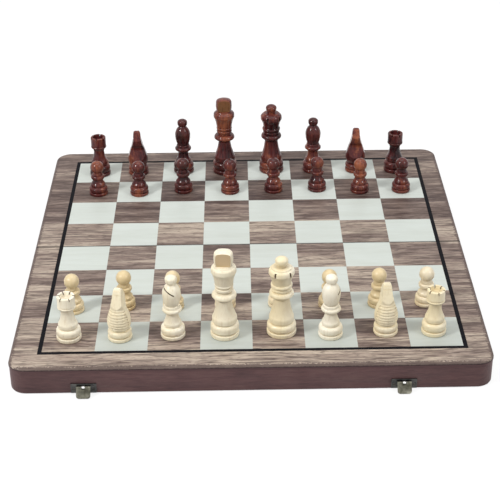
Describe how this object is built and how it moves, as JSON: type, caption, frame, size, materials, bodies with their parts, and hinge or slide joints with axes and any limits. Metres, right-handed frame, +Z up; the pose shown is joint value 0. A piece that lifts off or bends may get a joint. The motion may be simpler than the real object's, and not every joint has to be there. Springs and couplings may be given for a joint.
{
  "type": "folding chess box",
  "caption": "Shallow wooden case in two hinged halves that opens flat into a bordered chess board, with two front catches and a turned wooden chess set standing on it.",
  "frame": {"origin": "on the table, under the middle of the fold line, 1.1 mm below the rims of the two halves", "axes": "+X along the fold to the right of the light player, +Y away from the light player, +Z up out of the playing surface"},
  "size_m": [0.38, 0.3895, 0.1011],
  "materials": {
    "walnut": "grey-brown walnut veneer, satin varnish, grain along X",
    "pale_inlay": "bleached pale veneer with a faint cool tone, satin varnish",
    "black_inlay": "black dyed veneer line, satin",
    "core_board": "bare fibreboard core",
    "mahogany": "solid wood stained red-brown, satin lacquer",
    "felt": "glued green felt",
    "antique_metal": "antique-plated stamped steel, dark with worn bright edges",
    "light_wood": "turned pale maple, clear satin lacquer",
    "dark_lacquer": "turned wood stained red-brown, gloss lacquer"
  },
  "bodies": {
    "front_half": {"front_panel_core": "core_board", "front_walnut_face": "walnut", "front_pale_squares": "pale_inlay", "front_black_line": "black_inlay", "front_outer_wall": "mahogany", "front_left_wall": "mahogany", "front_right_wall": "mahogany", "front_fold_wall": "mahogany", "front_felt_lining": "felt", "front_hinge_leaves": "antique_metal", "front_screws": "antique_metal", "hinge_pins": "antique_metal", "catch_plates": "antique_metal", "catch_pins": "antique_metal"},
    "rear_half": {"rear_panel_core": "core_board", "rear_walnut_face": "walnut", "rear_pale_squares": "pale_inlay", "rear_black_line": "black_inlay", "rear_outer_wall": "mahogany", "rear_left_wall": "mahogany", "rear_right_wall": "mahogany", "rear_fold_wall": "mahogany", "rear_felt_lining": "felt", "rear_hinge_leaves": "antique_metal", "rear_screws": "antique_metal", "catch_keepers": "antique_metal"},
    "left_tongue": {"left_catch_tongue": "antique_metal"},
    "right_tongue": {"right_catch_tongue": "antique_metal"},
    "light_rook_left_body": {"light_rook_left": "light_wood"},
    "light_knight_left_body": {"light_knight_left": "light_wood"},
    "light_bishop_left_body": {"light_bishop_left": "light_wood"},
    "light_king_body": {"light_king": "light_wood"},
    "light_queen_body": {"light_queen": "light_wood"},
    "light_bishop_right_body": {"light_bishop_right": "light_wood"},
    "light_knight_right_body": {"light_knight_right": "light_wood"},
    "light_rook_right_body": {"light_rook_right": "light_wood"},
    "light_pawn_1_body": {"light_pawn_1": "light_wood"},
    "light_pawn_2_body": {"light_pawn_2": "light_wood"},
    "light_pawn_3_body": {"light_pawn_3": "light_wood"},
    "light_pawn_4_body": {"light_pawn_4": "light_wood"},
    "light_pawn_5_body": {"light_pawn_5": "light_wood"},
    "light_pawn_6_body": {"light_pawn_6": "light_wood"},
    "light_pawn_7_body": {"light_pawn_7": "light_wood"},
    "light_pawn_8_body": {"light_pawn_8": "light_wood"},
    "dark_rook_left_body": {"dark_rook_left": "dark_lacquer"},
    "dark_knight_left_body": {"dark_knight_left": "dark_lacquer"},
    "dark_bishop_left_body": {"dark_bishop_left": "dark_lacquer"},
    "dark_king_body": {"dark_king": "dark_lacquer"},
    "dark_queen_body": {"dark_queen": "dark_lacquer"},
    "dark_bishop_right_body": {"dark_bishop_right": "dark_lacquer"},
    "dark_knight_right_body": {"dark_knight_right": "dark_lacquer"},
    "dark_rook_right_body": {"dark_rook_right": "dark_lacquer"},
    "dark_pawn_1_body": {"dark_pawn_1": "dark_lacquer"},
    "dark_pawn_2_body": {"dark_pawn_2": "dark_lacquer"},
    "dark_pawn_3_body": {"dark_pawn_3": "dark_lacquer"},
    "dark_pawn_4_body": {"dark_pawn_4": "dark_lacquer"},
    "dark_pawn_5_body": {"dark_pawn_5": "dark_lacquer"},
    "dark_pawn_6_body": {"dark_pawn_6": "dark_lacquer"},
    "dark_pawn_7_body": {"dark_pawn_7": "dark_lacquer"},
    "dark_pawn_8_body": {"dark_pawn_8": "dark_lacquer"}
  },
  "joints": [
    {"name": "fold_hinge", "type": "hinge", "parent": "front_half", "child": "rear_half", "pos_m": [0, 0, 0.0011], "axis": [-1, 0, 0], "range_deg": [0, 180]},
    {"name": "catch_left_swing", "type": "hinge", "parent": "front_half", "child": "left_tongue", "pos_m": [-0.131, -0.1917, 0.0074], "axis": [-1, 0, 0], "range_deg": [-35.9, 104]},
    {"name": "catch_right_swing", "type": "hinge", "parent": "front_half", "child": "right_tongue", "pos_m": [0.119, -0.1917, 0.0074], "axis": [-1, 0, 0], "range_deg": [-35.9, 104]},
    {"name": "lift_light_rook_left", "type": "slide", "parent": "front_half", "child": "light_rook_left_body", "axis": [0, 0, 1], "range_m": [0, 0.1]},
    {"name": "lift_light_knight_left", "type": "slide", "parent": "front_half", "child": "light_knight_left_body", "axis": [0, 0, 1], "range_m": [0, 0.1]},
    {"name": "lift_light_bishop_left", "type": "slide", "parent": "front_half", "child": "light_bishop_left_body", "axis": [0, 0, 1], "range_m": [0, 0.1]},
    {"name": "lift_light_king", "type": "slide", "parent": "front_half", "child": "light_king_body", "axis": [0, 0, 1], "range_m": [0, 0.1]},
    {"name": "lift_light_queen", "type": "slide", "parent": "front_half", "child": "light_queen_body", "axis": [0, 0, 1], "range_m": [0, 0.1]},
    {"name": "lift_light_bishop_right", "type": "slide", "parent": "front_half", "child": "light_bishop_right_body", "axis": [0, 0, 1], "range_m": [0, 0.1]},
    {"name": "lift_light_knight_right", "type": "slide", "parent": "front_half", "child": "light_knight_right_body", "axis": [0, 0, 1], "range_m": [0, 0.1]},
    {"name": "lift_light_rook_right", "type": "slide", "parent": "front_half", "child": "light_rook_right_body", "axis": [0, 0, 1], "range_m": [0, 0.1]},
    {"name": "lift_light_pawn_1", "type": "slide", "parent": "front_half", "child": "light_pawn_1_body", "axis": [0, 0, 1], "range_m": [0, 0.1]},
    {"name": "lift_light_pawn_2", "type": "slide", "parent": "front_half", "child": "light_pawn_2_body", "axis": [0, 0, 1], "range_m": [0, 0.1]},
    {"name": "lift_light_pawn_3", "type": "slide", "parent": "front_half", "child": "light_pawn_3_body", "axis": [0, 0, 1], "range_m": [0, 0.1]},
    {"name": "lift_light_pawn_4", "type": "slide", "parent": "front_half", "child": "light_pawn_4_body", "axis": [0, 0, 1], "range_m": [0, 0.1]},
    {"name": "lift_light_pawn_5", "type": "slide", "parent": "front_half", "child": "light_pawn_5_body", "axis": [0, 0, 1], "range_m": [0, 0.1]},
    {"name": "lift_light_pawn_6", "type": "slide", "parent": "front_half", "child": "light_pawn_6_body", "axis": [0, 0, 1], "range_m": [0, 0.1]},
    {"name": "lift_light_pawn_7", "type": "slide", "parent": "front_half", "child": "light_pawn_7_body", "axis": [0, 0, 1], "range_m": [0, 0.1]},
    {"name": "lift_light_pawn_8", "type": "slide", "parent": "front_half", "child": "light_pawn_8_body", "axis": [0, 0, 1], "range_m": [0, 0.1]},
    {"name": "lift_dark_rook_left", "type": "slide", "parent": "rear_half", "child": "dark_rook_left_body", "axis": [0, 0, 1], "range_m": [0, 0.1]},
    {"name": "lift_dark_knight_left", "type": "slide", "parent": "rear_half", "child": "dark_knight_left_body", "axis": [0, 0, 1], "range_m": [0, 0.1]},
    {"name": "lift_dark_bishop_left", "type": "slide", "parent": "rear_half", "child": "dark_bishop_left_body", "axis": [0, 0, 1], "range_m": [0, 0.1]},
    {"name": "lift_dark_king", "type": "slide", "parent": "rear_half", "child": "dark_king_body", "axis": [0, 0, 1], "range_m": [0, 0.1]},
    {"name": "lift_dark_queen", "type": "slide", "parent": "rear_half", "child": "dark_queen_body", "axis": [0, 0, 1], "range_m": [0, 0.1]},
    {"name": "lift_dark_bishop_right", "type": "slide", "parent": "rear_half", "child": "dark_bishop_right_body", "axis": [0, 0, 1], "range_m": [0, 0.1]},
    {"name": "lift_dark_knight_right", "type": "slide", "parent": "rear_half", "child": "dark_knight_right_body", "axis": [0, 0, 1], "range_m": [0, 0.1]},
    {"name": "lift_dark_rook_right", "type": "slide", "parent": "rear_half", "child": "dark_rook_right_body", "axis": [0, 0, 1], "range_m": [0, 0.1]},
    {"name": "lift_dark_pawn_1", "type": "slide", "parent": "rear_half", "child": "dark_pawn_1_body", "axis": [0, 0, 1], "range_m": [0, 0.1]},
    {"name": "lift_dark_pawn_2", "type": "slide", "parent": "rear_half", "child": "dark_pawn_2_body", "axis": [0, 0, 1], "range_m": [0, 0.1]},
    {"name": "lift_dark_pawn_3", "type": "slide", "parent": "rear_half", "child": "dark_pawn_3_body", "axis": [0, 0, 1], "range_m": [0, 0.1]},
    {"name": "lift_dark_pawn_4", "type": "slide", "parent": "rear_half", "child": "dark_pawn_4_body", "axis": [0, 0, 1], "range_m": [0, 0.1]},
    {"name": "lift_dark_pawn_5", "type": "slide", "parent": "rear_half", "child": "dark_pawn_5_body", "axis": [0, 0, 1], "range_m": [0, 0.1]},
    {"name": "lift_dark_pawn_6", "type": "slide", "parent": "rear_half", "child": "dark_pawn_6_body", "axis": [0, 0, 1], "range_m": [0, 0.1]},
    {"name": "lift_dark_pawn_7", "type": "slide", "parent": "rear_half", "child": "dark_pawn_7_body", "axis": [0, 0, 1], "range_m": [0, 0.1]},
    {"name": "lift_dark_pawn_8", "type": "slide", "parent": "rear_half", "child": "dark_pawn_8_body", "axis": [0, 0, 1], "range_m": [0, 0.1]}
  ]
}
